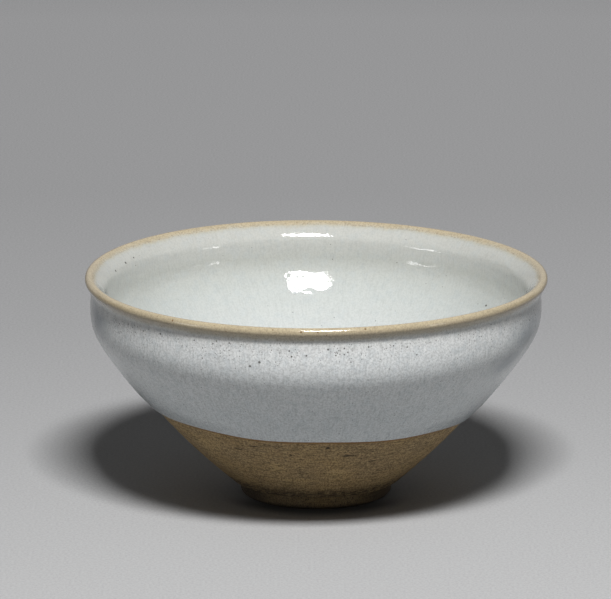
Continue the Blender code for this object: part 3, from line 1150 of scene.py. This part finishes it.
# Painted contact shadow: the paper darkens close in front of the foot.
near_foot = paper.fade(paper.vector("LENGTH", paper.level()), CONTACT_END, CONTACT_FULL)
painted_contact_shadow = paper.number("MULTIPLY", near_foot, paper.fade(behind, FRONT_STARTS, FRONT_FULL))
tone = paper.lay(painted_contact_shadow, CONTACT_SHADOW_STRENGTH, tone, (0.0, 0.0, 0.0))
paper.link(paper.shader.inputs["Base Color"], tone)
paper.shader.inputs["Roughness"].default_value = 0.9
paper.shader.inputs["Specular IOR Level"].default_value = 0.1
studio_floor.data.materials.append(paper.material)
print("the floor reaches", FLOOR_REACH, "m each way")

# %% [markdown]
# One soft box high in front of the bowl does nearly all of the work. A wide, weak one behind stands for the
# pale backdrop and opens the shadow, and two large, dim ones light the sides. Two small cards in front are
# seen only in reflections, and they draw the faint marks on the inner wall. Each row is an azimuth from the
# front and an elevation in degrees, a distance, a width and a height in metres, and a level.

# %% The lights
WHITE_AT_ONE_METRE = math.pi**2
LAMP_AIM = Vector((0.0, 0.0, 0.04))
SOFT_BOXES = [
    ("key_box", 6.2, 56.7, 0.95, 0.265, 0.125, 1.51),
    ("pale_backdrop", 180.0, 25.0, 1.5, 3.0, 1.2, 0.17),
    ("left_side_fill", -72.0, 17.0, 1.6, 1.5, 0.9, 0.055),
    ("right_side_fill", 75.0, 17.0, 1.6, 1.5, 0.9, 0.055),
]
MIRRORED_CARDS = [
    ("card_on_the_left", -62.0, 4.0, 1.6, 0.46, 0.22, 0.105),
    ("card_on_the_right", 59.0, 4.0, 1.6, 0.26, 0.18, 0.044),
]


def soft_box(name, azimuth, elevation, distance, width, height, level):
    """An area lamp aimed at the bowl. At level 1 a white card that faces it renders white."""
    lamp = bpy.data.lights.new(name, "AREA")
    lamp.shape = "RECTANGLE"
    lamp.size = width
    lamp.size_y = height
    lamp.energy = level * WHITE_AT_ONE_METRE * distance**2
    stand = bpy.data.objects.new(name, lamp)
    turn = math.radians(azimuth)
    lift = math.radians(elevation)
    away = Vector((math.sin(turn) * math.cos(lift), -math.cos(turn) * math.cos(lift), math.sin(lift)))
    stand.location = LAMP_AIM + away * distance
    stand.rotation_euler = away.to_track_quat("Z", "Y").to_euler()
    bpy.context.scene.collection.objects.link(stand)
    print(name, "stands at", [round(value, 2) for value in stand.location])
    return stand


for row in SOFT_BOXES:
    soft_box(*row)
for row in MIRRORED_CARDS:
    card = soft_box(*row)
    card.visible_diffuse = False

# %% [markdown]
# The world is dim, so the glaze has something dark to mirror, but the camera sees it as pale grey. Light
# Path's Is Camera Ray tells the two apart.

# %% The world
WORLD_AS_LIGHT = (0.02, 0.02, 0.0205)
WORLD_AS_SEEN = (0.36, 0.36, 0.37)

world = bpy.data.worlds.new("studio")
bpy.context.scene.world = world
world.use_nodes = True
sky = world.node_tree
background = sky.nodes["Background"]
is_camera = sky.nodes.new("ShaderNodeLightPath").outputs["Is Camera Ray"]
shade = sky.nodes.new("ShaderNodeMix")
shade.data_type = "RGBA"
shade.inputs[6].default_value = (*WORLD_AS_LIGHT, 1.0)
shade.inputs[7].default_value = (*WORLD_AS_SEEN, 1.0)
sky.links.new(is_camera, shade.inputs[0])
sky.links.new(shade.outputs[2], background.inputs["Color"])
print("the world has", len(sky.nodes), "nodes")

# %% [markdown]
# The camera stands a metre and a half away with a long lens and looks down on the bowl by about fifteen
# degrees. It aims a little above the bowl, because the photograph leaves more room over it than under it.

# %% The camera
SENSOR = 36.0
PICTURE_WIDTH = 611
FOCAL_PIXELS = 5540.6
CAMERA_DISTANCE = 1.5
CAMERA_ELEVATION = math.radians(14.9)
MIDDLE_HEIGHT = 30.0 * MM
AIM_RIGHT = -2.9 * MM
AIM_UP = 22.5 * MM

camera_data = bpy.data.cameras.new("camera")
camera_data.sensor_width = SENSOR
camera_data.lens = FOCAL_PIXELS * SENSOR / PICTURE_WIDTH
camera_data.clip_end = 20.0
camera = bpy.data.objects.new("camera", camera_data)
middle = Vector((0.0, 0.0, MIDDLE_HEIGHT))
back = Vector((0.0, -math.cos(CAMERA_ELEVATION), math.sin(CAMERA_ELEVATION)))
camera_up = Vector((0.0, math.sin(CAMERA_ELEVATION), math.cos(CAMERA_ELEVATION)))
camera.location = middle + back * CAMERA_DISTANCE
aim = middle + Vector((AIM_RIGHT, 0.0, 0.0)) + camera_up * AIM_UP
camera.rotation_euler = (camera.location - aim).to_track_quat("Z", "Y").to_euler()
bpy.context.scene.collection.objects.link(camera)
bpy.context.scene.camera = camera
bpy.context.scene.view_settings.view_transform = "Standard"
print("the lens is", round(camera_data.lens, 1), "mm long")

# %% [markdown]
# Last, the finished bowl and its solids are measured, and both boxes are printed.

# %% Measure the boxes
boxes = {"cad": [list(map(float, corner)) for corner in cad_bounds]}
boxes["visual"] = [list(map(float, corner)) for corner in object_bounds()]
for name, box in boxes.items():
    print("the", name, "box in millimetres:", np.round(np.array(box) / MM, 2).tolist())
